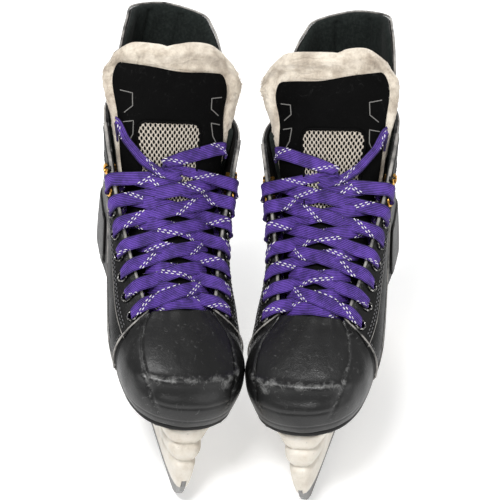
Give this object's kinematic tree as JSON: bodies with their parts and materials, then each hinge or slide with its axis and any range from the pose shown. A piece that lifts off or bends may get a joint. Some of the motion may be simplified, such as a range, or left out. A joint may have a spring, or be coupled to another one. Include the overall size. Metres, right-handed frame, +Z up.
{
  "type": "ice hockey skates",
  "caption": "Pair of laced black ice hockey skates with felt-edged tongues, tendon guards, purple laces, pale blade holders and steel runners, leaning together.",
  "frame": {"origin": "centre of the footprint box of the pair, on the ice", "axes": "+Z up; the toes point to -Y; the skate of the right foot stands at -X and that of the left foot at +X"},
  "size_m": [0.2574, 0.275, 0.2931],
  "materials": {
    "black_leather": "worn black coated leather with soft creases and scuffs",
    "black_plastic": "satin black moulded plastic, scuffed grey at its ridge",
    "black_fabric": "black padded lining cloth",
    "pale_felt": "thick pale felt, fuzzy and worn",
    "grey_mesh": "knitted mesh with dark oval holes",
    "purple_lace": "flat woven polyester lace with white tracers",
    "white_plastic": "aged off-white moulded plastic",
    "steel": "ground and worn",
    "brass": "tarnished, some coated black",
    "grey_foam": "grey foam with a cloth top"
  },
  "bodies": {
    "right_boot": {"right_outsole": "black_plastic", "right_footbed": "grey_foam", "right_toe_cap": "black_plastic", "right_outer_quarter": "black_leather", "right_inner_quarter": "black_leather", "right_outer_facing": "black_leather", "right_inner_facing": "black_leather", "right_outer_eyelets": "brass", "right_inner_eyelets": "brass", "right_ankle_liner": "black_fabric", "right_heel_counter": "black_plastic", "right_tongue_lower": "black_fabric", "right_tongue_mesh": "grey_mesh", "right_blade_holder": "white_plastic", "right_steel_runner": "steel", "right_front_runner_nut": "steel", "right_rear_runner_nut": "steel", "right_lace": "purple_lace", "right_toe_outer_rivet": "steel", "right_toe_inner_rivet": "steel", "right_ball_outer_rivet": "steel", "right_ball_inner_rivet": "steel", "right_shank_outer_rivet": "steel", "right_shank_inner_rivet": "steel", "right_heel_outer_rivet": "steel", "right_heel_inner_rivet": "steel"},
    "right_tongue": {"right_tongue_upper": "pale_felt", "right_tongue_face": "black_leather"},
    "right_guard": {"right_tendon_guard": "black_fabric"},
    "left_boot": {"left_outsole": "black_plastic", "left_footbed": "grey_foam", "left_toe_cap": "black_plastic", "left_outer_quarter": "black_leather", "left_inner_quarter": "black_leather", "left_outer_facing": "black_leather", "left_inner_facing": "black_leather", "left_outer_eyelets": "brass", "left_inner_eyelets": "brass", "left_ankle_liner": "black_fabric", "left_heel_counter": "black_plastic", "left_tongue_lower": "black_fabric", "left_tongue_mesh": "grey_mesh", "left_blade_holder": "white_plastic", "left_steel_runner": "steel", "left_front_runner_nut": "steel", "left_rear_runner_nut": "steel", "left_lace": "purple_lace", "left_toe_outer_rivet": "steel", "left_toe_inner_rivet": "steel", "left_ball_outer_rivet": "steel", "left_ball_inner_rivet": "steel", "left_shank_outer_rivet": "steel", "left_shank_inner_rivet": "steel", "left_heel_outer_rivet": "steel", "left_heel_inner_rivet": "steel"},
    "left_tongue": {"left_tongue_upper": "pale_felt", "left_tongue_face": "black_leather"},
    "left_guard": {"left_tendon_guard": "black_fabric"}
  },
  "joints": [
    {"name": "pair_spacing", "type": "slide", "parent": "right_boot", "child": "left_boot", "axis": [1, 0, 0], "range_m": [0, 0.25]},
    {"name": "right_tongue_fold", "type": "hinge", "parent": "right_boot", "child": "right_tongue", "pos_m": [-0.05598, 0.01892, 0.23444], "axis": [0.9541, 0.2736, -0.1219], "range_deg": [0, 75], "stiffness_Nm_per_rad": 0.15},
    {"name": "right_guard_flex", "type": "hinge", "parent": "right_boot", "child": "right_guard", "pos_m": [-0.08486, 0.11987, 0.23493], "axis": [0.9541, 0.2736, -0.1219], "range_deg": [-20, 0], "stiffness_Nm_per_rad": 1.5},
    {"name": "left_tongue_fold", "type": "hinge", "parent": "left_boot", "child": "left_tongue", "pos_m": [0.05433, 0.01978, 0.23366], "axis": [0.9573, -0.2494, 0.1461], "range_deg": [0, 75], "stiffness_Nm_per_rad": 0.15},
    {"name": "left_guard_flex", "type": "hinge", "parent": "left_boot", "child": "left_guard", "pos_m": [0.08072, 0.12141, 0.23416], "axis": [0.9573, -0.2494, 0.1461], "range_deg": [-20, 0], "stiffness_Nm_per_rad": 1.5}
  ]
}
